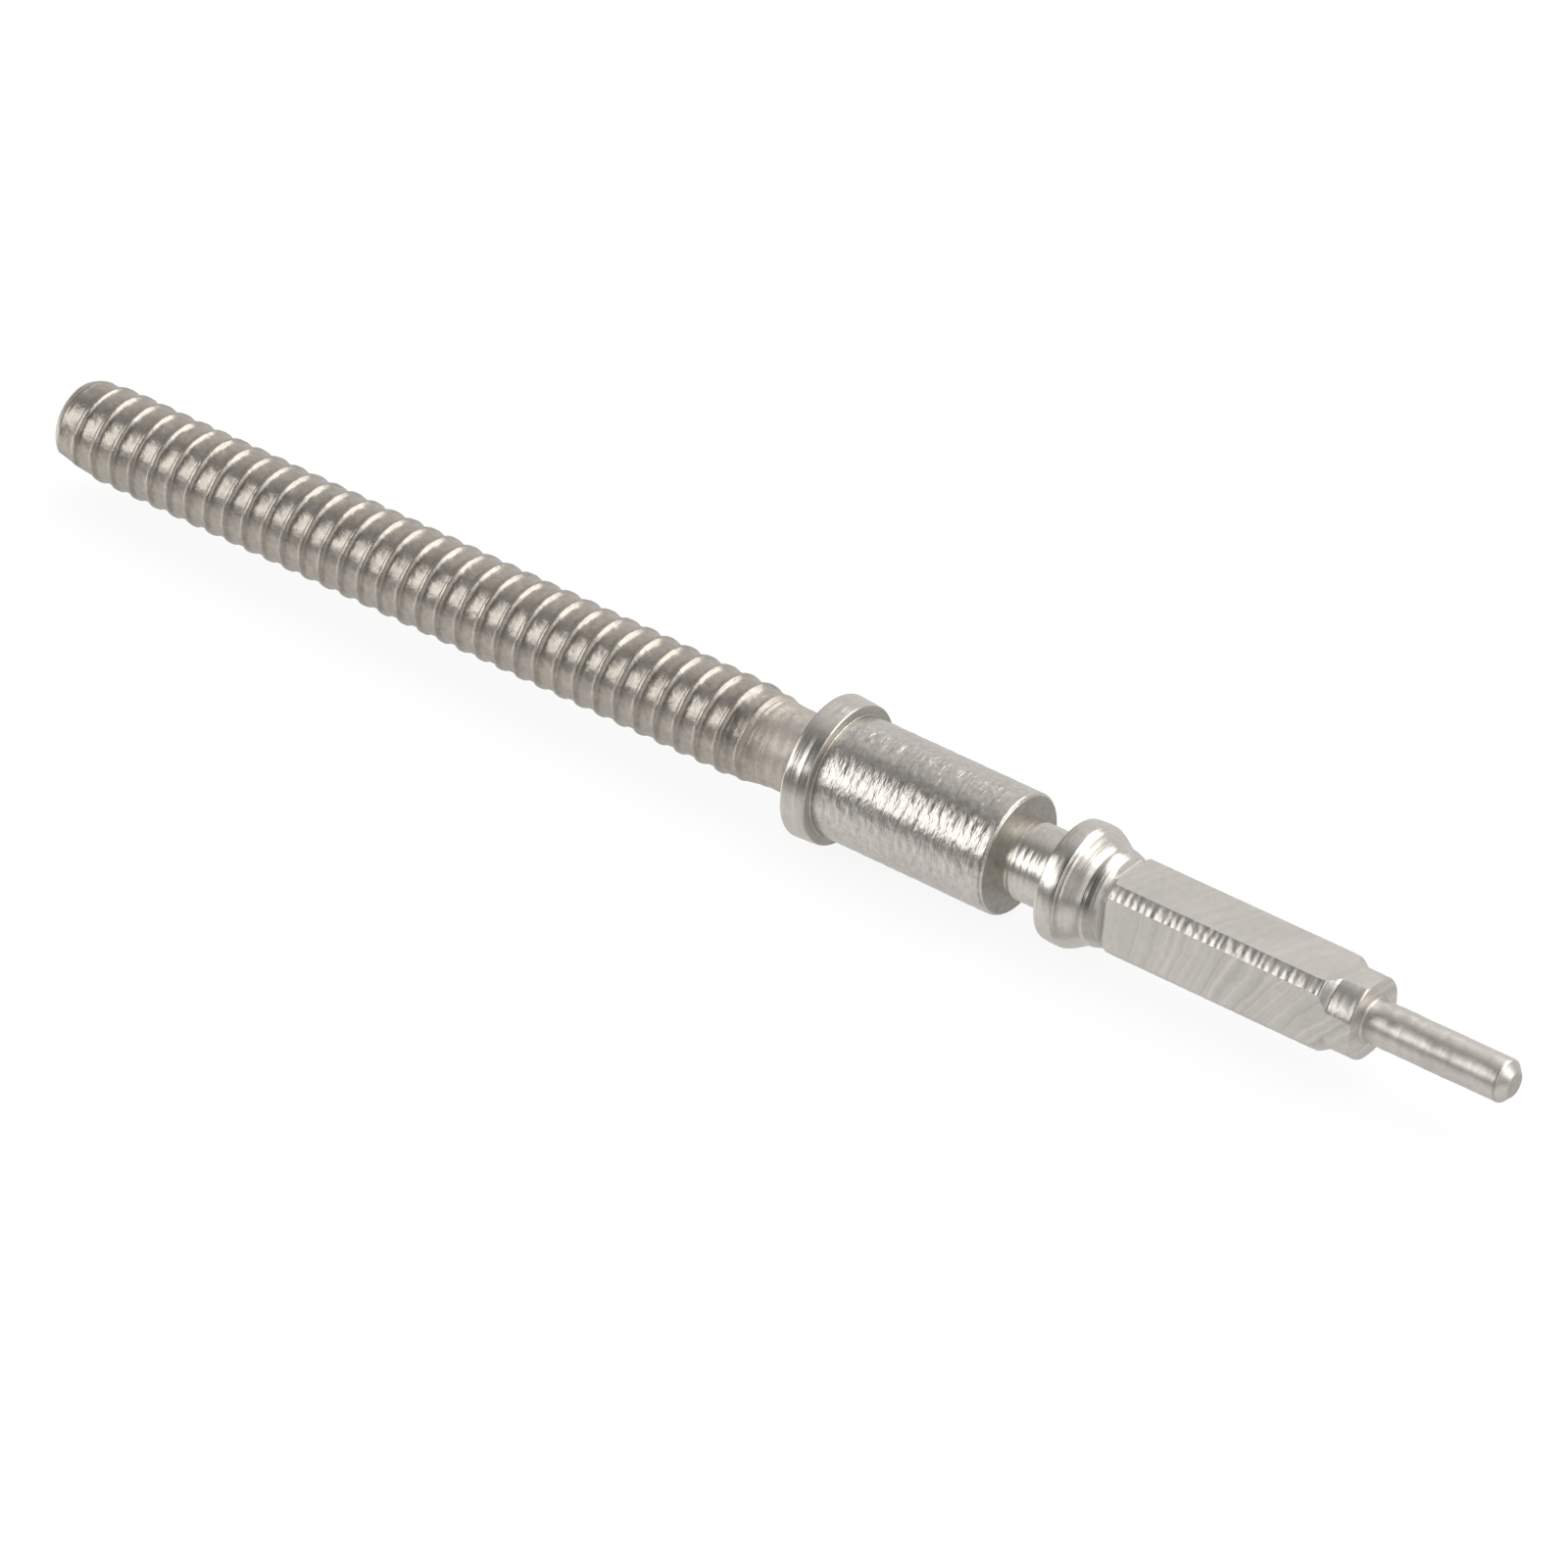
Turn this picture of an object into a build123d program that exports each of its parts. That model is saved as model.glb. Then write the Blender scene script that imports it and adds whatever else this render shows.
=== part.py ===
from build123d import *
import math
import os

# Winding stem of a watch, in millimetres
# The stem is one turned bar. Its axis is X, with the crown end at -X and the pilot at +X.
# The origin is the middle of the bearing journal, on the axis.
# Each section of the bar, from one shoulder to the next, is a closed solid of its own.
# The sections meet face to face.

# Crown thread, left-hand, whose groove is shallow and wide
thread_diameter = 0.90
thread_pitch = 0.225
thread_length = 8.20
thread_depth = 0.04
groove_mouth_share = 0.80
groove_floor_share = 0.50
groove_start_turn = -170.8
thread_run_out_length = 0.40
crown_end_waste = 0.40
crown_end_taper = 0.09
crown_end_taper_depth = 0.08
crown_end_slant_depth = 0.10
crown_end_slant_length = 0.50
crown_end_slant_turn = 141.6

# Neck between the thread and the flange, a little below the floor of the thread's groove
neck_length = 0.40
neck_relief_depth = 0.025
neck_root_fillet = 0.03

# Stop flange
flange_diameter = 1.36
flange_thickness = 0.25
flange_bevel = 0.025

# Bearing journal, which runs in the movement's plate
journal_diameter = 1.15
journal_length = 1.85
journal_root_fillet = 0.03
journal_end_rounding = 0.045

# Groove for the setting lever's pin
lever_groove_diameter = 0.73
lever_groove_length = 0.55
lever_groove_fillet = 0.025

# Guide collar, whose crowned land passes through the journal's bore
collar_length = 0.40
collar_land_length = 0.20
collar_crown = 0.010
collar_edge_break = 0.008
collar_foot_cove = 0.07

# Bead at the root of the square
bead_diameter = 0.915
bead_length = 0.08

# Winding square, milled on the bar with a round cutter from the slope behind the bead onwards
square_across_flats = 0.72
square_corner_diameter = 0.89
square_length = 2.42
root_slope_length = 0.11
root_slope_foot_diameter = 0.80
square_start_bevel_length = 0.03
cutter_reach_into_slope = 0.06
cutter_radius = 0.50
square_shoulder_length = 0.16

# Nose, on which the flats run on to the end face
nose_diameter = 0.765
nose_length = 0.25
nose_end_rounding = 0.04

# Pilot pivot
pilot_diameter = 0.40
pilot_length = 1.45
pilot_root_fillet = 0.08
pilot_tip_bevel = 0.10
pilot_tip_dome = 0.015

# Cuts run past the surface that they cut by this much
overrun = 0.015

# How much larger than its real size the long helix is drawn
helix_drawing_scale = 10

# Stations along the axis
journal_start = -journal_length / 2
journal_end = journal_length / 2
flange_start = journal_start - flange_thickness
neck_start = flange_start - neck_length
thread_start = neck_start - thread_length
collar_start = journal_end + lever_groove_length
bead_start = collar_start + collar_length
square_start = bead_start + bead_length
nose_start = square_start + square_length
pilot_start = nose_start + nose_length
pilot_end = pilot_start + pilot_length

# Sizes that follow from others
# The neck's relief is measured from the floor of the thread's groove.
# The collar passes through the journal's bore, so it is as thick as the journal.
neck_diameter = thread_diameter - 2 * (thread_depth + neck_relief_depth)
crown_end_diameter = thread_diameter - 2 * crown_end_taper_depth
collar_diameter = journal_diameter


def bar_outline(start, end, start_diameter, end_diameter=None):
    """Half outline, above the axis, of a straight or tapered length of the bar."""
    end_diameter = start_diameter if end_diameter is None else end_diameter
    corners = [(start, 0), (end, 0), (end, end_diameter / 2), (start, start_diameter / 2)]
    return make_face(Polyline(*corners, close=True))


def root_fillet(station, diameter, radius, side):
    """Outline of the soft inner corner between a diameter and the shoulder face beside it."""
    near_corner = Align.MIN if side > 0 else Align.MAX
    block = Pos(station, diameter / 2) * Rectangle(radius, radius, align=(near_corner, Align.MIN))
    return block - Pos(station + side * radius, diameter / 2 + radius) * Circle(radius)


def turned(outline):
    """Solid that the half outline makes when it is turned about the stem's axis."""
    return revolve(outline, axis=Axis.X)


def last_outer_corner(outline):
    """Corner of an outline that is furthest from the axis, at the end towards the pilot."""
    return outline.vertices().group_by(Axis.Y)[-1].sort_by(Axis.X)[-1]


def flat_cuts(start, end, cutter_centre):
    """Four cuts that leave a square between two stations, with round ends where the cutter stopped."""
    path = Pos((cutter_centre + end) / 2, 0) * Rectangle(end - cutter_centre, cutter_radius * 2)
    path += Pos(cutter_centre, 0) * Circle(cutter_radius)
    window = Pos((start + end) / 2, 0) * Rectangle(end - start, cutter_radius * 2)
    cut = extrude(Pos(0, 0, square_across_flats / 2) * (path & window), amount=square_corner_diameter)
    return [Rot(90 * side, 0, 0) * cut for side in range(4)]


def thread_blank():
    """Plain bar that the thread is cut from, too long at the crown end."""
    return turned(bar_outline(thread_start - crown_end_waste, neck_start, thread_diameter))


def thread_groove():
    """Left-hand helical groove, from the waste at the crown end to half a turn before the neck."""
    floor_radius = thread_diameter / 2 - thread_depth
    rim_radius = thread_diameter / 2 + overrun
    floor = thread_pitch * groove_floor_share / 2
    mouth = thread_pitch * groove_mouth_share / 2
    rim = mouth + (mouth - floor) / thread_depth * overrun
    corners = [(floor_radius, -floor), (rim_radius, -rim), (rim_radius, rim), (floor_radius, floor)]
    profile = Plane.XZ * make_face(Polyline(*corners, close=True))
    groove_start = thread_start - thread_pitch
    groove_length = neck_start - thread_pitch / 2 - groove_start
    # A helix of so many fine turns is drawn larger and then brought back to its size
    path = Helix(
        thread_pitch * helix_drawing_scale,
        groove_length * helix_drawing_scale,
        floor_radius * helix_drawing_scale,
        lefthand=True,
    )
    groove = sweep(scale(profile, by=helix_drawing_scale), path=path, is_frenet=True)
    groove = Rot(0, 90, 0) * scale(groove, by=1 / helix_drawing_scale)
    return Pos(groove_start, 0, 0) * Rot(groove_start_turn, 0, 0) * groove


def crown_end_waste_cut():
    """Everything beyond the crown end's flat face and its taper."""
    slope = (thread_diameter - crown_end_diameter) / 2 / crown_end_taper
    outer = thread_diameter / 2 + slope * overrun
    corners = [
        (thread_start, 0),
        (thread_start, crown_end_diameter / 2),
        (thread_start + crown_end_taper + overrun, outer),
        (thread_start - crown_end_waste - overrun, outer),
        (thread_start - crown_end_waste - overrun, 0),
    ]
    return turned(make_face(Polyline(*corners, close=True)))


def run_out_cut():
    """Ring that lowers the last turns' crests until they fade into the neck."""
    run_out_start = neck_start - thread_run_out_length
    slope = (thread_diameter - neck_diameter) / 2 / thread_run_out_length
    outer = thread_diameter / 2 + slope * overrun
    corners = [
        (run_out_start - overrun, outer),
        (neck_start + overrun, neck_diameter / 2 - slope * overrun),
        (neck_start + overrun, outer),
    ]
    return turned(make_face(Polyline(*corners, close=True)))


def crown_end_slant_cut():
    """Wedge that takes a slanting flat off one side of the crown end."""
    slope = math.degrees(math.atan(crown_end_slant_depth / crown_end_slant_length))
    edge = Pos(thread_start + crown_end_slant_length, 0, thread_diameter / 2)
    slant = Rot(crown_end_slant_turn, 0, 0) * edge * Rot(0, -slope, 0)
    wedge = Box(thread_length, thread_diameter, thread_diameter, align=(Align.MAX, Align.CENTER, Align.MIN))
    return slant * wedge


def crown_thread():
    """Threaded end, tapered and slanted at its tip and faded out at the neck."""
    thread = thread_blank() - thread_groove()
    for cut in (crown_end_waste_cut(), run_out_cut(), crown_end_slant_cut()):
        thread -= cut
    return thread


def relief_neck():
    """Plain neck, with a soft corner against the flange."""
    outline = bar_outline(neck_start, flange_start, neck_diameter)
    return turned(outline + root_fillet(flange_start, neck_diameter, neck_root_fillet, -1))


def stop_flange():
    """Thin flange with both rims bevelled."""
    outline = bar_outline(flange_start, journal_start, flange_diameter)
    rims = outline.vertices().group_by(Axis.Y)[-1]
    return turned(chamfer(rims, flange_bevel))


def bearing_journal():
    """Journal with a soft root at the flange and a rounded edge at the groove."""
    outline = bar_outline(journal_start, journal_end, journal_diameter)
    outline = fillet(last_outer_corner(outline), journal_end_rounding)
    return turned(outline + root_fillet(journal_start, journal_diameter, journal_root_fillet, 1))


def lever_groove():
    """Waist between the journal and the collar, with soft corners at both ends."""
    outline = bar_outline(journal_end, collar_start, lever_groove_diameter)
    outline += root_fillet(journal_end, lever_groove_diameter, lever_groove_fillet, 1)
    outline += root_fillet(collar_start, lever_groove_diameter, lever_groove_fillet, -1)
    return turned(outline)


def guide_collar():
    """Collar with a slightly crowned land, a cone and a small cove at the cone's foot."""
    land_end = collar_start + collar_land_length
    edge_radius = collar_diameter / 2 - collar_crown
    land = ThreePointArc(
        (collar_start + collar_edge_break, edge_radius),
        ((collar_start + land_end) / 2, collar_diameter / 2),
        (land_end, edge_radius),
    )
    foot = (bead_start, bead_diameter / 2)
    cove_start = (bead_start - collar_foot_cove, bead_diameter / 2 + collar_foot_cove / 2)
    cone = Line(land @ 1, cove_start)
    cove = Spline(cove_start, foot, tangents=(cone % 1, (1, 0)))
    rest = Polyline(
        foot,
        (bead_start, 0),
        (collar_start, 0),
        (collar_start, edge_radius - collar_edge_break),
        land @ 0,
    )
    return turned(make_face(land + cone + cove + rest))


def root_bead():
    """Narrow bead between the collar's cone and the slope at the root of the square."""
    return turned(bar_outline(bead_start, square_start, bead_diameter))


def winding_square():
    """Square with rounded corners, from the bead's slope to the rounded shoulder at the nose."""
    slope_end = square_start + root_slope_length
    bevel_end = slope_end + square_start_bevel_length
    shoulder_start = nose_start - square_shoulder_length
    outline = bar_outline(square_start, slope_end, bead_diameter, root_slope_foot_diameter)
    outline += bar_outline(slope_end, bevel_end, root_slope_foot_diameter, square_corner_diameter)
    outline += bar_outline(bevel_end, shoulder_start, square_corner_diameter)
    shoulder = Spline(
        (shoulder_start, square_corner_diameter / 2),
        (nose_start, nose_diameter / 2),
        tangents=((1, 0), (1, 0)),
    )
    rest = Polyline(shoulder @ 1, (nose_start, 0), (shoulder_start, 0), shoulder @ 0)
    outline += make_face(shoulder + rest)
    cutter_centre = square_start + root_slope_length - cutter_reach_into_slope + cutter_radius
    bar = turned(outline)
    for cut in flat_cuts(square_start, nose_start, cutter_centre):
        bar -= cut
    return bar


def square_nose():
    """Nose on which the four flats run on to the end face."""
    outline = bar_outline(nose_start, pilot_start, nose_diameter)
    nose = turned(fillet(last_outer_corner(outline), nose_end_rounding))
    for cut in flat_cuts(nose_start, pilot_start, nose_start - cutter_radius):
        nose -= cut
    return nose


def pilot_pivot():
    """Polished pivot with a soft root, a bevelled edge and a slightly domed tip."""
    radius = pilot_diameter / 2
    bevel_start = pilot_end - pilot_tip_dome - pilot_tip_bevel
    dome_edge = (pilot_end - pilot_tip_dome, radius - pilot_tip_bevel)
    dome = RadiusArc(dome_edge, (pilot_end, 0), dome_radius(dome_edge[1], pilot_tip_dome))
    rest = Polyline(
        (pilot_end, 0),
        (pilot_start, 0),
        (pilot_start, radius),
        (bevel_start, radius),
        dome_edge,
    )
    outline = make_face(dome + rest)
    return turned(outline + root_fillet(pilot_start, pilot_diameter, pilot_root_fillet, 1))


def dome_radius(half_width, height):
    """Radius of the round dome that has this half width and height."""
    return (half_width**2 + height**2) / (2 * height)


sections = [
    crown_thread,
    relief_neck,
    stop_flange,
    bearing_journal,
    lever_groove,
    guide_collar,
    root_bead,
    winding_square,
    square_nose,
    pilot_pivot,
]

os.makedirs("parts", exist_ok=True)
for section in sections:
    export_step(section(), f"parts/{section.__name__}.step")
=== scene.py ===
import math

import bmesh
import bpy
import numpy as np
from mathutils import Matrix, Vector


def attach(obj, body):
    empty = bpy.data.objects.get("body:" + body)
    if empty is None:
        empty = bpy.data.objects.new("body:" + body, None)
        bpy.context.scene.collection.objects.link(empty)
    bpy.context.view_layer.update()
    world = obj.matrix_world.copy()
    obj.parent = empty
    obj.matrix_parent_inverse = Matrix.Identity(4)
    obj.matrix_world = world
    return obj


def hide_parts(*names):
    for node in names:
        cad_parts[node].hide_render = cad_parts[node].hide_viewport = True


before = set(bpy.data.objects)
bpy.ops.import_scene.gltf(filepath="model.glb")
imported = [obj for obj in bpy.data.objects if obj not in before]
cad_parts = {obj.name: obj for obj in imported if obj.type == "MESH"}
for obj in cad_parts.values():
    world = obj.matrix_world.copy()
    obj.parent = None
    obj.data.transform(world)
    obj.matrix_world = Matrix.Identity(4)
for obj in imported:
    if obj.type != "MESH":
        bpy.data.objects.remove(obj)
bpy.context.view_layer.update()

# Sizes are written in millimetres and turned into metres where a mesh or a shader is made
MM = 0.001
MICRON = 1e-6
FULL_TURN = 2 * math.pi

# The stem's sections along its axis, as in the solids
THREAD_START, NECK_START, FLANGE_START, JOURNAL_START = -9.775, -1.575, -1.175, -0.925
JOURNAL_END, COLLAR_START, BEAD_START, SQUARE_START = 0.925, 1.475, 1.875, 1.955
NOSE_START, PILOT_START, PILOT_END = 4.375, 4.625, 6.075

# Their radii
THREAD_R, NECK_R, FLANGE_R, JOURNAL_R, GROOVE_R = 0.45, 0.385, 0.680, 0.575, 0.365
BEAD_R, BEAD_END_R, STRIP_R, SHOULDER_R, NOSE_R, PILOT_R = 0.459, 0.4455, 0.445, 0.4425, 0.3825, 0.20

# Turns about the axis go from +Y towards +Z: the side that faces the camera, and the one below it
CAMERA_TURN = math.radians(141.6)
BELOW_TURN = CAMERA_TURN + math.radians(90)


# ---- meshes

def smooth_step(t):
    t = np.clip(t, 0.0, 1.0)
    return t * t * (3 - 2 * t)


def within(x, start, end, rise, fall=None):
    """1 between two stations and 0 outside them, with a smooth rise and fall on the inside."""
    return smooth_step((x - start) / rise) * smooth_step((end - x) / (fall or rise))


def from_table(places, table):
    """Values at some places, from a table of (place, value)."""
    known, values = zip(*table)
    return np.interp(places, known, values)


def shifted(start, profile):
    """Points of the half outline, from a profile of (distance from start, radius)."""
    return [(start + x, r) for x, r in profile]


def arc(centre_x, centre_r, radius, start, end, count):
    """Points of a round corner in the half outline, from one angle to another in degrees."""
    turn = np.radians(np.linspace(start, end, count))
    return [(centre_x + radius * math.cos(a), centre_r + radius * math.sin(a)) for a in turn]


def even_rows(points, step):
    """The same outline with no two points further apart than step."""
    out = [points[0]]
    for (x0, r0), (x1, r1) in zip(points, points[1:]):
        count = max(1, int(math.ceil(math.hypot(x1 - x0, r1 - r0) / step)))
        for k in range(1, count + 1):
            out.append((x0 + (x1 - x0) * k / count, r0 + (r1 - r0) * k / count))
    return out


def patch_noise(x, turn, step, around, seed):
    """Smooth random values on the bar's skin, one every step along it and so many around it."""
    x = np.asarray(x, float)
    cells = int((x.max() - x.min()) / step) + 3
    table = np.random.RandomState(seed).rand(cells, around) * 2 - 1
    fx = (x - x.min()) / step
    fa = (turn / FULL_TURN % 1.0) * around
    i, j = np.floor(fx).astype(int), np.floor(fa).astype(int)
    sx, sa = smooth_step(fx - i), smooth_step(fa - j)
    j0, j1 = j % around, (j + 1) % around
    low = table[i, j0] * (1 - sa) + table[i, j1] * sa
    high = table[i + 1, j0] * (1 - sa) + table[i + 1, j1] * sa
    return low * (1 - sx) + high * sx


def ring_noise(x, step, seed):
    """Smooth random values along the axis alone, one every step, for turning rings."""
    place = (np.asarray(x, float) - THREAD_START) / step
    table = np.random.RandomState(seed).rand(int((PILOT_END - THREAD_START) / step) + 3) * 2 - 1
    i = np.floor(place).astype(int)
    s = smooth_step(place - i)
    return table[i] * (1 - s) + table[i + 1] * s


def finish_mesh(name, points, faces, sharp_degrees, merge):
    """Object from points in mm. Points nearer than merge are joined, where merge isn't 0."""
    mesh = bpy.data.meshes.new(name)
    mesh.from_pydata([tuple(p) for p in points * MM], [], faces)
    mesh.validate()
    piece = bpy.data.objects.new(name, mesh)
    bpy.context.scene.collection.objects.link(piece)
    if merge:
        work = bmesh.new()
        work.from_mesh(mesh)
        bmesh.ops.remove_doubles(work, verts=work.verts, dist=merge * MM)
        bmesh.ops.dissolve_degenerate(work, edges=work.edges, dist=merge * MM)
        work.to_mesh(mesh)
        work.free()
    mesh.shade_smooth()
    mesh.set_sharp_from_angle(angle=math.radians(sharp_degrees))
    return piece


def skin(name, x, y, z, sharp_degrees, merge=0.0, lead=0):
    """Closed mesh through rings of points, with a point on the axis at both ends.

    With a lead, the rings climb by so many rows in one turn, as a screw does.
    """
    rows, columns = x.shape
    points = np.stack([x, y, z], -1).reshape(-1, 3)
    ends = np.array([[x[0].mean(), 0, 0], [x[-1].mean(), 0, 0]])
    points = np.vstack([points, ends])
    here = np.arange(columns)
    there = (here + 1) % columns
    climb = np.where(there == 0, lead, 0)
    faces = []
    for row in range(rows - 1):
        far_a = np.minimum(row + climb, rows - 1) * columns + there
        far_b = np.minimum(row + 1 + climb, rows - 1) * columns + there
        a, b = row * columns, (row + 1) * columns
        faces += np.stack([a + here, far_a, far_b, b + here], -1).tolist()
    first, last = rows * columns, rows * columns + 1
    faces += [(first, int(t), int(h)) for h, t in zip(here, there)]
    top = (rows - 1) * columns
    faces += [(last, int(top + h), int(top + t)) for h, t in zip(here, there)]
    # The faces look outwards, whichever way round the points go
    middle = rows // 2
    if y[middle, 0] * z[middle, 1] < z[middle, 0] * y[middle, 1]:
        faces = [tuple(reversed(face)) for face in faces]
    return finish_mesh(name, points, faces, sharp_degrees, merge)


def turned(name, outline, columns=256, relief=None):
    """Piece turned about the stem's axis from its half outline, with relief added to the radius."""
    outline = np.array(outline, float)
    turn = np.linspace(0, FULL_TURN, columns, endpoint=False)
    x = np.repeat(outline[:, :1], columns, 1)
    r = np.repeat(outline[:, 1:], columns, 1)
    if relief:
        r = r + relief(x, np.repeat(turn[None], len(outline), 0))
    return skin(name, x, r * np.cos(turn), r * np.sin(turn), sharp_degrees=32)


# ---- crown thread

THREAD_PITCH = 0.225
# Where a crest crosses the side that faces the camera
CREST_STATION = 0.183
# One pitch of the thread, from a crest's crown-side edge: (place within it, how many degrees the skin falls
# there). The rise at the end takes what is left of the depth, in these shares.
THREAD_FALL = [(0.0, -3), (0.05, -1), (0.09, 1), (0.11, 5), (0.13, 14), (0.16, 28), (0.20, 30), (0.24, 25),
               (0.28, 17), (0.33, 11), (0.38, 7.5), (0.44, 4), (0.50, 2.5), (0.58, 1.5), (0.70, 0.5),
               (0.82, -1), (0.89, -4), (0.925, -8)]
THREAD_RISE = [(0.94, 0.7), (0.955, 1.0), (0.965, 1.0), (0.98, 0.6), (1.0, 0.0)]
FORM_STEPS = 200
# Where the rows of the thread's skin stand within a pitch
THREAD_ROWS = np.array([0.0, 0.03, 0.06, 0.09, 0.11, 0.125, 0.14, 0.16, 0.18, 0.205, 0.23, 0.26, 0.30, 0.35,
                        0.42, 0.50, 0.60, 0.72, 0.83, 0.90, 0.93, 0.95, 0.965, 0.98])
# (station, radius) of the crests, which fade into the neck
CREST_FADE = [(-9.9, 0.45), (-1.97, 0.45), (-1.936, 0.440), (-1.876, 0.434), (-1.816, 0.428),
              (-1.756, 0.414), (-1.696, 0.403), (-1.62, 0.390), (-1.575, 0.385)]
# (distance from the end, radius) of the worn tip
TIP_WEAR = [(0, 0.365), (0.02, 0.386), (0.05, 0.403), (0.10, 0.418), (0.18, 0.433), (0.28, 0.443),
            (0.40, 0.45), (9.0, 0.45)]
# The slanting flat on the lower side of the tip: its depth, its length and how far it reaches around
SLANT_DEPTH, SLANT_LENGTH, SLANT_REACH = 0.10, 0.5, 0.2
NO_LIMIT = 9.0


def thread_form():
    """Table of (place within a pitch, depth below the crest)."""
    places = np.linspace(0, 1, FORM_STEPS + 1)
    fall_end = THREAD_FALL[-1][0]
    slope = np.tan(np.radians(from_table(places, THREAD_FALL)))
    slope[places > fall_end] = 0
    rise = from_table(places, [(fall_end, 0.0)] + THREAD_RISE)
    slope -= rise * slope.sum() / rise.sum()
    step = THREAD_PITCH / FORM_STEPS
    depth = np.concatenate([[0], np.cumsum((slope[1:] + slope[:-1]) / 2) * step])
    return list(zip(places, depth))


THREAD_FORM = thread_form()


def thread_radius(x, turn):
    """Radius of the threaded end: its form, with a faded last turn and a worn tip."""
    phase = (x - CREST_STATION) / THREAD_PITCH + (turn - CAMERA_TURN) / FULL_TURN
    crest = np.minimum(from_table(x, CREST_FADE), from_table(x - THREAD_START, TIP_WEAR))
    share = np.clip((crest - NECK_R) / (THREAD_R - NECK_R), 0, 1)
    return crest - from_table(phase % 1.0, THREAD_FORM) * share


def crown_thread():
    columns = 144
    # A left-hand thread: it climbs as the turn goes down
    turn = -np.linspace(0, FULL_TURN, columns, endpoint=False)
    climb = -THREAD_PITCH * (turn - CAMERA_TURN) / FULL_TURN
    # The rows start two and a half turns before the end and go past the neck; clipping squares both ends
    turns = int((NECK_START - THREAD_START) / THREAD_PITCH) + 5
    rows = (np.arange(turns)[:, None] + THREAD_ROWS[None]).ravel() * THREAD_PITCH
    turns_before = math.floor((THREAD_START - CREST_STATION) / THREAD_PITCH - 2.5)
    x = CREST_STATION + THREAD_PITCH * turns_before + rows[:, None] + climb[None]
    x = np.clip(x, THREAD_START, NECK_START)
    a = np.repeat(turn[None], len(rows), 0)
    uneven = (0.0022 * patch_noise(x, a, step=0.12, around=24, seed=3)
              + 0.0018 * patch_noise(x, a, step=0.035, around=60, seed=4))
    r = thread_radius(x, a) + uneven * within(x, THREAD_START + 0.02, NECK_START - 0.02, 0.1)
    # Torn, streaky metal where the last turns run out into the neck
    streaks = 0.0035 * patch_noise(x + THREAD_PITCH * a / FULL_TURN, a, step=0.028, around=7, seed=5)
    r = r + streaks * within(x, -2.05, NECK_START - 0.01, 0.15, 0.06)
    slant = THREAD_R - SLANT_DEPTH * np.clip(1 - (x - THREAD_START) / SLANT_LENGTH, 0, 1)
    facing = np.cos(a - BELOW_TURN)
    r = np.minimum(r, np.where(facing > SLANT_REACH, slant / np.maximum(facing, SLANT_REACH), NO_LIMIT))
    y, z = r * np.cos(turn), r * np.sin(turn)
    return skin("stem_thread", x, y, z, sharp_degrees=60, merge=0.0002, lead=len(THREAD_ROWS))


# ---- turned sections

def relief_neck():
    root = 0.03
    outline = [(NECK_START, NECK_R), (FLANGE_START - root, NECK_R)]
    outline += arc(FLANGE_START - root, NECK_R + root, root, -90, 0, 6)[1:]

    def relief(x, turn):
        rough = (0.0022 * patch_noise(x, turn, step=0.05, around=26, seed=31)
                 + 0.0008 * ring_noise(x, step=0.03, seed=32))
        return rough * within(x, NECK_START, FLANGE_START - root, 0.03)

    return turned("stem_neck", even_rows(outline, 0.012), relief=relief)


def stop_flange():
    # Two narrow bands stand square on the rim, with shallow falls behind each
    rim = [(0.0, 0.671), (0.003, 0.677), (0.009, FLANGE_R), (0.033, FLANGE_R), (0.039, 0.6796),
           (0.118, 0.6732), (0.124, 0.6729), (0.158, 0.6729), (0.165, 0.672), (0.238, 0.664),
           (0.246, 0.659), (0.25, 0.650)]
    outline = [(FLANGE_START, 0.39)] + even_rows(shifted(FLANGE_START, rim), 0.006)
    outline += [(JOURNAL_START, 0.56)]
    return turned("stem_flange", outline, 320)


def bearing_journal():
    root, edge = 0.010, 0.040
    fillet = arc(JOURNAL_START + root, JOURNAL_R + root, root, 180, 270, 7)
    land = even_rows([fillet[-1], (JOURNAL_END - edge, JOURNAL_R)], 0.012)
    rim = arc(JOURNAL_END - edge, JOURNAL_R - edge, edge, 90, 0, 9)

    def relief(x, turn):
        strokes = (0.0026 * patch_noise(x, turn, step=0.046, around=34, seed=11)
                   + 0.0012 * patch_noise(x, turn, step=0.024, around=80, seed=12))
        return strokes * within(x, JOURNAL_START + 0.03, JOURNAL_END - 0.05, 0.05)

    outline = fillet + land[1:] + rim[1:] + [(JOURNAL_END, 0.36)]
    return turned("stem_journal", outline, 320, relief=relief)


def lever_groove():
    root = 0.025
    outline = [(JOURNAL_END, GROOVE_R)] + arc(COLLAR_START - root, GROOVE_R + root, root, -90, 0, 7)

    def relief(x, turn):
        rings = 0.0013 * ring_noise(x, step=0.035, seed=41) + 0.0004 * ring_noise(x, step=0.014, seed=42)
        return rings * within(x, JOURNAL_END + 0.02, COLLAR_START - 0.02, 0.03)

    return turned("stem_groove", even_rows(outline, 0.007), relief=relief)


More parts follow.
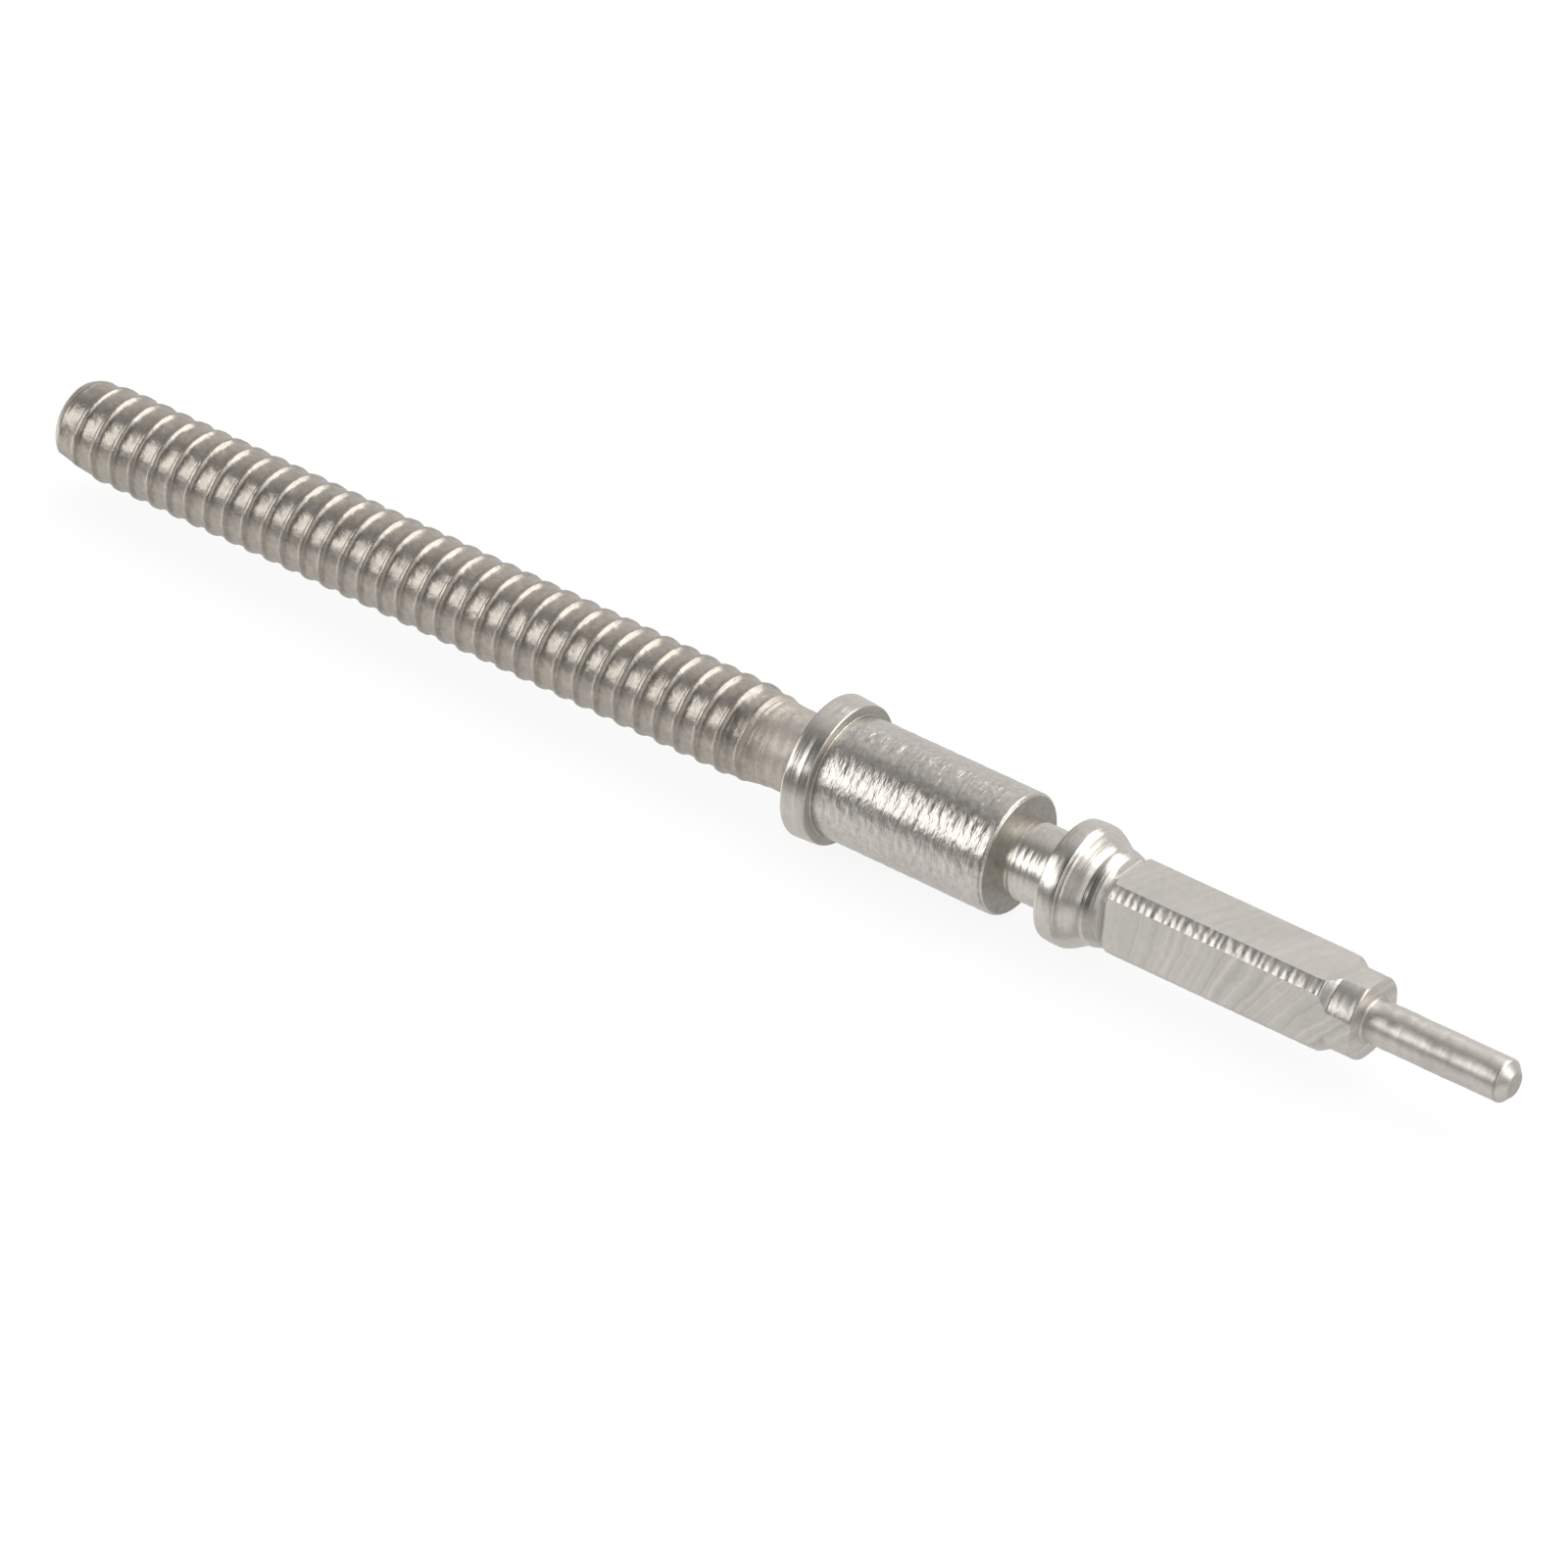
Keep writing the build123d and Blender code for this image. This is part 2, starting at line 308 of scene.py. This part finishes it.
def guide_collar():
    land = [(0.0, 0.36), (0.0, 0.556), (0.002, 0.561), (0.008, 0.566), (0.03, 0.5695), (0.07, 0.573),
            (0.10, 0.5745), (0.125, 0.575), (0.15, 0.5747), (0.178, 0.5733), (0.19, 0.5712), (0.20, 0.566),
            (0.206, 0.562)]
    cone = [(0.245, 0.547), (0.285, 0.524), (0.325, 0.4985), (0.355, 0.480), (0.375, 0.469), (0.39, 0.4625)]
    outline = shifted(COLLAR_START, land + cone) + [(BEAD_START, BEAD_R)]

    def relief(x, turn):
        rings = 0.0012 * ring_noise(x, step=0.028, seed=51) + 0.0004 * ring_noise(x, step=0.012, seed=52)
        grain = 0.0009 * patch_noise(x, turn, step=0.03, around=44, seed=53)
        return (rings * within(x, COLLAR_START + 0.205, BEAD_START - 0.01, 0.02)
                + grain * within(x, COLLAR_START + 0.01, COLLAR_START + 0.19, 0.03))

    return turned("stem_collar", even_rows(outline, 0.006), 288, relief=relief)


def root_bead():
    outline = shifted(BEAD_START, [(0.0, BEAD_R), (0.006, 0.4577), (0.030, 0.4575), (0.045, 0.4555)])
    return turned("stem_bead", outline + [(SQUARE_START, BEAD_END_R)], 288)


def pilot_pivot():
    root = 0.03
    fillet = arc(PILOT_START + root, PILOT_R + root, root, 180, 270, 10)
    bevel = PILOT_END - 0.088
    edge = [(-0.022, PILOT_R), (-0.010, 0.1988), (0.002, 0.195), (0.012, 0.1885)]
    # The end is a low dome inside the bevel
    tip_r, dome = 0.098, 0.006
    tip = [(-0.017, 0.124), (-0.011, 0.114), (-dome, tip_r)]
    tip += [(-dome * share ** 2, tip_r * share) for share in (0.85, 0.65, 0.45, 0.25, 0.10)]

    def relief(x, turn):
        soft = (0.0026 * patch_noise(x, turn, step=0.16, around=9, seed=61)
                + 0.0007 * patch_noise(x, turn, step=0.05, around=22, seed=62)
                + 0.0012 * ring_noise(x, step=0.075, seed=63))
        return soft * within(x, PILOT_START + 0.07, bevel - 0.02, 0.05)

    outline = fillet + shifted(bevel, edge) + shifted(PILOT_END, tip)
    return turned("stem_pilot", even_rows(outline, 0.02), 192, relief=relief)


# ---- winding square and nose

# How far the flats are from the axis
FLAT = 0.36
# The cutter that milled them stopped near the bead and left its round end there, with a short sweep up
CUTTER_R = 1.20
CUTTER_X = SQUARE_START + 0.062 + CUTTER_R
ROOT_SWEEP = 0.035
# Points across a flat and around the strip of bar that is left at a corner
FLAT_POINTS, STRIP_POINTS = 14, 14
# Where the first strip starts and how wide it is, for its dimples
STRIP_START, STRIP_WIDE = math.radians(36), math.radians(18)
DIMPLE_PITCH = 0.082
# Rows at each end of a milled section that have no dimples
PLAIN_ROWS = 4
SHOULDER_LENGTH = 0.12


def flat_half_width(x, r):
    """Half the width of a flat at one station: up to the round bar, or to the cutter's round end."""
    wide = math.sqrt(max(r * r - FLAT * FLAT, 0.0))
    if x < CUTTER_X:
        reach = CUTTER_R ** 2 - (CUTTER_X - x) ** 2
        wide = min(wide, math.sqrt(max(reach, 0.0)))
    return wide


def flat_height(x, b, r):
    """How far a point of a flat is from the axis: the flat sweeps up to the bar where the cutter stopped."""
    inside = CUTTER_R - math.hypot(min(x - CUTTER_X, 0.0), b)
    if x >= CUTTER_X or inside > ROOT_SWEEP:
        return FLAT
    up = (1 - max(inside, 0.0) / ROOT_SWEEP) ** 2
    return FLAT + (math.sqrt(max(r * r - b * b, FLAT * FLAT)) - FLAT) * up


def strip_dimples(x, share, seed):
    """Uneven dimples of the four strips, from about -1 to 1, by strip, row and share of a strip's width."""
    along = np.repeat(np.repeat(x[None, :, None], 4, 0), STRIP_POINTS, 2)
    around = np.arange(4)[:, None, None] * math.pi / 2 + STRIP_START + STRIP_WIDE * share
    around = np.repeat(around, len(x), 1)
    wander = 2.0 * ring_noise(x, step=0.15, seed=seed + 8)
    return (0.45 * np.cos(x / DIMPLE_PITCH * FULL_TURN + wander)[None, :, None]
            + 0.75 * patch_noise(along, around, step=0.044, around=48, seed=seed)
            + 0.30 * patch_noise(along, around, step=0.024, around=90, seed=seed + 4))


def milled(name, outline, seed, dimple):
    """Square section milled on a turned outline: four flats with strips of the bar left at the corners.

    dimple is the height of the strips' dimples.
    """
    outline = np.array(outline, float)
    strip_share = np.linspace(0, 1, STRIP_POINTS)
    flat_share = np.linspace(-1, 1, FLAT_POINTS)
    dimples = strip_dimples(outline[:, 0], strip_share, seed) * dimple
    rows = []
    for i, (x, r) in enumerate(outline):
        row = []
        wide = flat_half_width(x, r)
        edge = math.atan2(wide, math.sqrt(max(r * r - wide * wide, 1e-9)))
        for side in range(4):
            turn = side * math.pi / 2
            cos_turn, sin_turn = math.cos(turn), math.sin(turn)
            for b in flat_share * wide:
                a = flat_height(x, b, r) if wide > 1e-6 else r
                row.append((x, a * cos_turn - b * sin_turn, a * sin_turn + b * cos_turn))
            for k, angle in enumerate(turn + edge + (math.pi / 2 - 2 * edge) * strip_share):
                dimpled = PLAIN_ROWS < i < len(outline) - PLAIN_ROWS
                rr = r + dimples[side, i, k] if dimpled else r
                row.append((x, rr * math.cos(angle), rr * math.sin(angle)))
        rows.append(row)
    x, y, z = np.moveaxis(np.array(rows), -1, 0)
    return skin(name, x, y, z, sharp_degrees=28, merge=0.0002)


def winding_square():
    # The bead's fall runs on to the foot of the strips, where they step up to their full height
    outline = shifted(SQUARE_START, [(0.0, BEAD_END_R), (0.02, 0.4388), (0.05, 0.4275), (0.08, 0.416)])
    foot = SQUARE_START + 0.11
    outline += shifted(foot, [(-0.012, 0.4105), (0.0, 0.409), (0.008, 0.413), (0.02, 0.431),
                              (0.028, 0.441), (0.036, STRIP_R)])
    shoulder = NOSE_START - SHOULDER_LENGTH
    outline += shifted(shoulder, [(-0.09, STRIP_R), (-0.03, 0.4438)])
    for t in np.linspace(0, 1, 14):
        fall = (SHOULDER_R - NOSE_R) * float(smooth_step(t ** 1.05))
        outline.append((shoulder + SHOULDER_LENGTH * t, SHOULDER_R - fall))
    return milled("stem_square", even_rows(outline, 0.007), seed=21, dimple=0.0019)


def square_nose():
    edge, end_r = 0.02, NOSE_R - 0.002
    outline = [(NOSE_START, NOSE_R), (PILOT_START - edge, end_r)]
    outline += arc(PILOT_START - edge, end_r - edge, edge, 90, 0, 8)[1:]
    outline += [(PILOT_START, 0.30), (PILOT_START, 0.19)]
    return milled("stem_nose", even_rows(outline, 0.008), seed=22, dimple=0.0009)


# ---- materials

class Graph:
    """Short ways to add nodes to a shader tree. A value is a number or another node's output."""

    def __init__(self, tree):
        self.tree = tree

    def put(self, value, socket):
        if hasattr(value, "is_output"):
            self.tree.links.new(value, socket)
        else:
            socket.default_value = value

    def node(self, kind, **values):
        """Node with its inputs and its settings given by name."""
        made = self.tree.nodes.new(kind)
        for key, value in values.items():
            if key in made.inputs:
                self.put(value, made.inputs[key])
            else:
                setattr(made, key, value)
        return made

    def math(self, operation, *values):
        made = self.node("ShaderNodeMath", operation=operation)
        for value, socket in zip(values, made.inputs):
            self.put(value, socket)
        return made.outputs[0]

    def product(self, result, *factors):
        for factor in factors:
            result = self.math("MULTIPLY", result, factor)
        return result

    def total(self, result, *parts):
        for part in parts:
            result = self.math("ADD", result, part)
        return result

    def line(self, value, slope, start):
        return self.math("MULTIPLY_ADD", value, slope, start)

    def factor(self, mask, change):
        """1 where the mask is 0, and 1 + change where it is 1."""
        return self.line(mask, change, 1.0)

    def fade(self, value, zero, one):
        """From 0 to 1 between two values, of which either may be the larger, with smooth ends."""
        falls = zero > one
        made = self.node("ShaderNodeMapRange", interpolation_type="SMOOTHSTEP", Value=value)
        ends = (min(zero, one), max(zero, one), float(falls), float(not falls))
        for key, number in zip(("From Min", "From Max", "To Min", "To Max"), ends):
            made.inputs[key].default_value = number
        return made.outputs["Result"]

    def band(self, value, start, full, fading, end):
        """0 outside start and end, and 1 from full to fading."""
        return self.product(self.fade(value, start, full), self.fade(value, end, fading))

    def ramp(self, value, stops):
        """Colour by a list of (place, red, green, blue)."""
        made = self.node("ShaderNodeValToRGB", Fac=value)
        elements = made.color_ramp.elements
        while len(elements) < len(stops):
            elements.new(0.5)
        for element, (place, *colour) in zip(elements, stops):
            element.position = place
            element.color = (*colour, 1)
        return made.outputs["Color"]

    def split(self, vector):
        return self.node("ShaderNodeSeparateXYZ", Vector=vector).outputs

    def noise(self, place, scale=1.0, stretch=None, detail=2.0, roughness=0.5):
        """Noise in so many cells per metre, which may differ along the three axes."""
        if stretch:
            place = self.node("ShaderNodeMapping", Vector=place, Scale=stretch).outputs["Vector"]
        made = self.node("ShaderNodeTexNoise", Vector=place, Scale=scale, Detail=detail, Roughness=roughness)
        return made.outputs["Fac"]

    def line_noise(self, place, cells, detail, roughness):
        """Noise along a line, in so many cells per metre."""
        made = self.node("ShaderNodeTexNoise", noise_dimensions="1D", Scale=1.0, Detail=detail,
                         Roughness=roughness, W=self.product(place, cells))
        return made.outputs["Fac"]

    def bump(self, height, microns, normal):
        """Normal with a relief added to it, or to the bare surface where normal is None."""
        made = self.node("ShaderNodeBump", Strength=1.0, Distance=microns * MICRON, Height=height)
        if normal is not None:
            self.put(normal, made.inputs["Normal"])
        return made.outputs["Normal"]


# A face counts as a shoulder from the first to the second of these parts of its normal along the axis
SHOULDER_FACING = 0.80, 0.95
FACE_RINGS, FACE_RING_MICRONS = 70000.0, 2.5
# Cells per metre of the clouds (half a millimetre across) and of the speckle (a sixteenth)
CLOUDS, CLOUD_DARK, CLOUD_LIGHT = 2200.0, 0.94, 1.05
SPECKLE = 16000.0
GRAIN = (40000, 9000, 9000)
# Milling marks: cells per metre across them, and how far (in mm) and in what cells they bend
MARK_CELLS, MARK_BEND, BEND_CELLS = 11000.0, 0.14, 2600.0
# Where the fan's lines are square to the axis (in mm), how fast they spread per metre, and the slope of the
# other lines
FAN_MIDDLE, FAN_SPREAD, MARK_SLOPE = 2.15, 380.0, -0.35
# How strongly they show in the colour on the flats that face along Y, and how much less on the others
MARK_SWING, TOP_SWING_CHANGE = 0.56, -0.36
# Over how many mm a local change of colour and roughness ends
LOCAL_FADE = 0.02


def milling_marks(g, place, on_top):
    """Uneven bands that a milling cutter leaves, on curved lines: from 0 to 1, half of it on average."""
    x, y, z = g.split(place)
    # On the flats that face along Y the lines fan out from the middle; on the others they lean one way
    fan = g.math("DIVIDE", g.math("SUBTRACT", x, FAN_MIDDLE * MM), g.line(z, FAN_SPREAD, 1.0))
    slanting = g.line(y, MARK_SLOPE, x)
    across = g.total(g.product(slanting, on_top), g.product(fan, g.math("SUBTRACT", 1.0, on_top)))
    across = g.line(g.noise(place, scale=BEND_CELLS), MARK_BEND * MM, across)
    return g.line_noise(across, MARK_CELLS, detail=3.0, roughness=0.65)


def steel(name, tint, rough, rough_spread, mottle, relief, marks=0.0, face=None, local=None):
    """Steel with a fine grain.

    mottle is how far the colour varies over a sixteenth of a millimetre. relief lists (cells per metre along
    the axis, cells per metre across it, height in microns), and marks is the height of milling marks in
    microns. face changes the shoulder faces and local one length of the stem, whose span is where it starts,
    where it is full and where it ends, in mm. Both give a factor for the colour and an added roughness. The
    colour factor of face is painted shade, or painted light where it is over 1, on faces that look along the
    axis; that of local is painted shade at the root of the flats and lightens the thread where it runs out.
    """
    material = bpy.data.materials.new(name)
    material.use_nodes = True
    g = Graph(material.node_tree)
    shape = g.node("ShaderNodeTexCoord")
    place = shape.outputs["Object"]
    facing = g.split(shape.outputs["Normal"])
    shoulder = g.fade(g.math("ABSOLUTE", facing["X"]), *SHOULDER_FACING)
    # Each part changes the amount of colour, the roughness or the normal that the ones before have made
    speckle = g.noise(place, scale=SPECKLE, detail=4.0, roughness=0.7)
    amount = g.line(speckle, 4 * mottle, 1 - 2 * mottle)
    grain = g.noise(place, stretch=GRAIN, roughness=0.6)
    roughness = g.line(grain, rough_spread, rough - rough_spread / 2)
    normal = None
    if marks:
        on_top = g.math("GREATER_THAN", g.math("ABSOLUTE", facing["Z"]), 0.5)
        bands = milling_marks(g, place, on_top)
        swing = g.line(on_top, TOP_SWING_CHANGE, MARK_SWING)
        amount = g.product(amount, g.line(bands, swing, g.line(swing, -0.5, 1.0)))
        normal = g.bump(bands, marks, normal)
    if face:
        # Painted shade (a factor under 1) or painted light (over 1) in the colour of faces that look along
        # the axis
        amount = g.product(amount, g.factor(shoulder, face["colour"] - 1))
        roughness = g.line(shoulder, face["rough"], roughness)
        across = g.node("ShaderNodeVectorMath", operation="MULTIPLY")
        g.put(place, across.inputs[0])
        g.put((0, 1, 1), across.inputs[1])
        radius = g.node("ShaderNodeVectorMath", operation="LENGTH")
        g.put(across.outputs["Vector"], radius.inputs[0])
        rings = g.line_noise(radius.outputs["Value"], FACE_RINGS, detail=2.0, roughness=0.7)
        normal = g.bump(g.product(rings, shoulder), FACE_RING_MICRONS, normal)
    if local:
        start, full, end = (station * MM for station in local["span"])
        near = g.band(g.split(place)["X"], start, full, end, end + LOCAL_FADE * MM)
        # Over this length the colour takes a factor: painted shade at the root of the flats, a lighter tone
        # where the thread runs out
        amount = g.product(amount, g.factor(near, local["colour"] - 1))
        roughness = g.line(near, local["rough"], roughness)
    for along_axis, across_axis, microns in relief:
        waves = g.noise(place, stretch=(along_axis, across_axis, across_axis), roughness=0.55)
        normal = g.bump(waves, microns, normal)
    clouds = g.noise(place, scale=CLOUDS, detail=3.0, roughness=0.6)
    tints = g.ramp(clouds, [(0.3, *[c * CLOUD_DARK for c in tint]), (0.7, *[c * CLOUD_LIGHT for c in tint])])
    colour = g.node("ShaderNodeVectorMath", operation="SCALE", Scale=amount)
    g.put(tints, colour.inputs[0])
    shader = material.node_tree.nodes["Principled BSDF"]
    g.put(1.0, shader.inputs["Metallic"])
    g.put(colour.outputs["Vector"], shader.inputs["Base Color"])
    g.put(roughness, shader.inputs["Roughness"])
    g.put(normal, shader.inputs["Normal"])
    return material


thread_steel = steel("thread_steel", (0.45, 0.41, 0.36), rough=0.31, rough_spread=0.10, mottle=0.19,
                     relief=[(22000, 22000, 2.8)],
                     local={"span": (-1.98, -1.60, 0.0), "colour": 1.27, "rough": 0.18})
neck_steel = steel("neck_steel", (0.575, 0.53, 0.475), rough=0.50, rough_spread=0.12, mottle=0.17,
                   relief=[(26000, 16000, 2.8)])
# Painted shade on its shoulder faces
turned_steel = steel("turned_steel", (0.65, 0.615, 0.56), rough=0.22, rough_spread=0.10, mottle=0.10,
                     relief=[(60000, 600, 1.0), (16000, 9000, 1.2)],
                     face={"colour": 0.75, "rough": 0.15})
# Painted shade on its shoulder faces
journal_steel = steel("journal_steel", (0.625, 0.59, 0.54), rough=0.235, rough_spread=0.08, mottle=0.19,
                      relief=[(22000, 7500, 3.7), (60000, 16000, 3.0)],
                      face={"colour": 0.76, "rough": 0.22})
# Painted light on its shoulder faces, and painted shade where the flats sweep up to the bead
milled_steel = steel("milled_steel", (0.64, 0.61, 0.565), rough=0.31, rough_spread=0.10, mottle=0.06,
                     relief=[(20000, 20000, 1.2)], marks=0.7,
                     face={"colour": 1.22, "rough": 0.12},
                     local={"span": (2.025, 2.04, 2.07), "colour": 0.88, "rough": 0.24})
# A little painted shade on its shoulder faces
pivot_steel = steel("pivot_steel", (0.66, 0.625, 0.575), rough=0.35, rough_spread=0.10, mottle=0.10,
                    relief=[(30000, 6000, 1.2)],
                    face={"colour": 0.95, "rough": 0.05})

# ---- pieces

PIECES = [
    (crown_thread, "crown_thread", "thread_steel", thread_steel),
    (relief_neck, "relief_neck", "turned_steel", neck_steel),
    (stop_flange, "stop_flange", "turned_steel", turned_steel),
    (bearing_journal, "bearing_journal", "journal_steel", journal_steel),
    (lever_groove, "lever_groove", "turned_steel", turned_steel),
    (guide_collar, "guide_collar", "turned_steel", turned_steel),
    (root_bead, "root_bead", "turned_steel", turned_steel),
    (winding_square, "winding_square", "milled_steel", milled_steel),
    (square_nose, "square_nose", "milled_steel", milled_steel),
    (pilot_pivot, "pilot_pivot", "pivot_steel", pivot_steel),
]
for make, cad_node, slot, material in PIECES:
    piece = make()
    piece.data.materials.append(material)
    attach(piece, "root")
    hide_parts(cad_node)

# ---- camera, as fitted to the photo

# How far the axis leans out of the picture towards the camera, and how far it slopes down in it
AXIS_LEAN = math.radians(28.6)
AXIS_SLOPE = math.radians(25.016)
# In the photo's pixels: its width, the focal length (from how fast the stem grows along its axis), and the
# scale at the point of the axis that the camera is placed by
PHOTO_WIDTH = 1600
FOCAL_PIXELS = math.tan(AXIS_LEAN) / 5.8e-5
PIXELS_PER_MM = 116.2
AIM_STATION = -1.476
# Where the photo shows that point: along and across a line that follows the stem from a first pixel
LINE_TURN = math.atan(0.46326)
LINE_X, LINE_Y = 40, 409.64
AIM_ALONG, AIM_ACROSS = 854.0, -0.7
SENSOR_MM = 36.0

# The camera's three directions in the stem's frame
along = Vector((1, 0, 0))
toward = Vector((0, math.cos(CAMERA_TURN), math.sin(CAMERA_TURN)))
below = Vector((0, math.cos(BELOW_TURN), math.sin(BELOW_TURN)))
cos_lean, sin_lean = math.cos(AXIS_LEAN), math.sin(AXIS_LEAN)
cos_slope, sin_slope = math.cos(AXIS_SLOPE), math.sin(AXIS_SLOPE)
right = cos_lean * cos_slope * along - sin_slope * below - sin_lean * cos_slope * toward
down = cos_lean * sin_slope * along + cos_slope * below - sin_lean * sin_slope * toward
forward = -sin_lean * along - cos_lean * toward

aim_x = LINE_X + AIM_ALONG * math.cos(LINE_TURN) - AIM_ACROSS * math.sin(LINE_TURN)
aim_y = LINE_Y + AIM_ALONG * math.sin(LINE_TURN) + AIM_ACROSS * math.cos(LINE_TURN)
aim = (aim_x - PHOTO_WIDTH / 2) * right + (aim_y - PHOTO_WIDTH / 2) * down + FOCAL_PIXELS * forward
eye = AIM_STATION * along - aim / PIXELS_PER_MM

camera_data = bpy.data.cameras.new("camera")
camera_data.sensor_width = SENSOR_MM
camera_data.lens = FOCAL_PIXELS / PHOTO_WIDTH * SENSOR_MM
camera_data.clip_start = 0.001
camera_data.clip_end = 20.0
camera = bpy.data.objects.new("camera", camera_data)
bpy.context.scene.collection.objects.link(camera)
camera_turn = Matrix((right, -down, -forward)).transposed().to_4x4()
camera.matrix_world = Matrix.Translation(eye * MM) @ camera_turn
bpy.context.scene.camera = camera

# ---- light: two softboxes, and a room that only the metal sees
# Directions are given about the stem: the elevation turns about its axis, from level on the -Y side (0)
# over the top (90) and down behind, and the azimuth leans from square to the axis towards the pilot.

LAMP_AWAY = 0.25


def direction(azimuth, elevation):
    az, el = math.radians(azimuth), math.radians(elevation)
    return Vector((math.sin(az), -math.cos(az) * math.cos(el), math.cos(az) * math.sin(el)))


def softbox(name, way, long_side, width, length, radiance):
    """Area lamp that faces the stem, with its long side turned a given way and its size in degrees."""
    way = way.normalized()
    top = (long_side - way * long_side.dot(way)).normalized()
    side = top.cross(way)
    data = bpy.data.lights.new(name, "AREA")
    data.shape = "RECTANGLE"
    data.size = 2 * LAMP_AWAY * math.tan(math.radians(width / 2))
    data.size_y = 2 * LAMP_AWAY * math.tan(math.radians(length / 2))
    data.energy = radiance * math.pi * data.size * data.size_y
    lamp = bpy.data.objects.new(name, data)
    bpy.context.scene.collection.objects.link(lamp)
    turn = Matrix((side, top, way)).transposed().to_4x4()
    lamp.matrix_world = Matrix.Translation(way * LAMP_AWAY) @ turn
    lamp.visible_camera = False


softbox("softbox_front", direction(-38, 34), long_side=direction(-38, 124),
        width=26, length=46, radiance=1.7)
softbox("softbox_top", direction(7.0, 114.5), long_side=Vector((-0.375, 0.912, -0.167)),
        width=32, length=60, radiance=1.9)

# The room's glow by the turn about the axis, in degrees as for the lamps' elevation
ROOM = [(-180, 0.78), (-150, 0.66), (-110, 0.68), (-73, 0.80), (-48, 0.87), (-28, 0.81), (-18, 0.60),
        (-10, 0.32), (-5, 0.26), (0, 0.42), (34, 0.50), (66, 0.30), (78, 0.32), (88, 0.48), (100, 0.64),
        (115, 0.70), (135, 0.71), (160, 0.76), (180, 0.78)]

world = bpy.data.worlds.new("room")
bpy.context.scene.world = world
world.use_nodes = True
world.node_tree.nodes.clear()
g = Graph(world.node_tree)
# A direction's sine of the azimuth (lean) and its elevation in degrees (around)
lean, way_y, way_z = g.split(g.node("ShaderNodeTexCoord").outputs["Generated"])
around = g.math("DEGREES", g.math("ARCTAN2", way_z, g.product(way_y, -1.0)))
ring = g.ramp(g.line(around, 1 / 360, 0.5), [(turn / 360 + 0.5, level, level, level) for turn, level in ROOM])

front = g.band(around, -10, 4, 62, 76)
# A paler patch of room beside the camera
beside = g.product(g.band(lean, 0.20, 0.30, 0.42, 0.52), front, 0.6)
# A bright patch high up beyond the pilot end
far_patch = g.product(g.band(lean, 0.66, 0.74, 0.93, 0.98), g.band(around, 70, 82, 140, 152), 1.6)
# Another carries on below the top softbox
low_patch = g.product(g.band(lean, 0.14, 0.26, 0.50, 0.58), g.band(around, 54, 70, 92, 106), 1.1)
# The bright table beyond the crown end
far_table = g.product(g.fade(lean, -0.70, -0.84), g.fade(around, -8, -24), 0.65)
room = g.total(ring, g.total(beside, far_patch, low_patch), far_table)
# The dark gap between the softboxes, where the camera stands
gap = g.product(g.band(lean, -0.36, -0.30, 0.16, 0.26), front)
room = g.product(room, g.factor(gap, -0.75))
# The room is darker above the crown end
dusk = g.product(g.fade(lean, -0.53, -0.66), g.band(around, 58, 80, 135, 155))
room = g.product(room, g.factor(dusk, -0.45))
# Low in front it is paler towards the crown end and darker straight ahead, which parts the thread's ridges
low_front = g.band(around, -95, -80, -16, -6)
ahead = g.band(lean, -0.37, -0.22, 0.20, 0.35)
shade = g.line(ahead, -0.34, g.product(g.fade(lean, -0.52, -0.60), 0.14))
room = g.product(room, g.line(shade, low_front, 1.0))
# It is darker behind the stem, beyond its pilot end
behind = g.total(g.fade(around, -105, -122), g.fade(around, 150, 166))
behind = g.product(behind, g.fade(lean, 0.10, 0.30))
room = g.product(room, g.factor(behind, -0.15))
# Metal sees the room, the floor is lit by an even sky, and the camera sees white
ray = g.node("ShaderNodeLightPath")
glossy = ray.outputs["Is Glossy Ray"]
glow = g.total(g.product(glossy, room), g.math("SUBTRACT", 1.0, glossy))
glow = g.math("MAXIMUM", glow, ray.outputs["Is Camera Ray"])
surround = g.node("ShaderNodeBackground", Color=(1, 1, 1, 1), Strength=glow)
g.node("ShaderNodeOutputWorld", Surface=surround.outputs["Background"])

# ---- floor: white paper just under the flange's rim, which keeps the stem's faint shadow

FLOOR_HALF, FLOOR_LEVEL = 3.0, -FLANGE_R * MM
# How much of the paper is plain white to the camera, against how much shows the light on it
FLOOR_WHITE = 0.88

corners = [(x * FLOOR_HALF, y * FLOOR_HALF, FLOOR_LEVEL) for x, y in ((-1, -1), (1, -1), (1, 1), (-1, 1))]
floor_mesh = bpy.data.meshes.new("floor")
floor_mesh.from_pydata(corners, [], [(0, 1, 2, 3)])
floor = bpy.data.objects.new("floor", floor_mesh)
bpy.context.scene.collection.objects.link(floor)
floor.visible_glossy = False
paper = bpy.data.materials.new("paper")
paper.use_nodes = True
paper.node_tree.nodes.clear()
g = Graph(paper.node_tree)
matte = g.node("ShaderNodeBsdfDiffuse", Color=(0.9, 0.9, 0.9, 1))
white = g.node("ShaderNodeEmission", Strength=g.node("ShaderNodeLightPath").outputs["Is Camera Ray"])
mix = g.node("ShaderNodeMixShader", Fac=FLOOR_WHITE)
g.put(matte.outputs["BSDF"], mix.inputs[1])
g.put(white.outputs["Emission"], mix.inputs[2])
g.node("ShaderNodeOutputMaterial", Surface=mix.outputs["Shader"])
floor_mesh.materials.append(paper)

bpy.context.scene.view_settings.view_transform = "Standard"
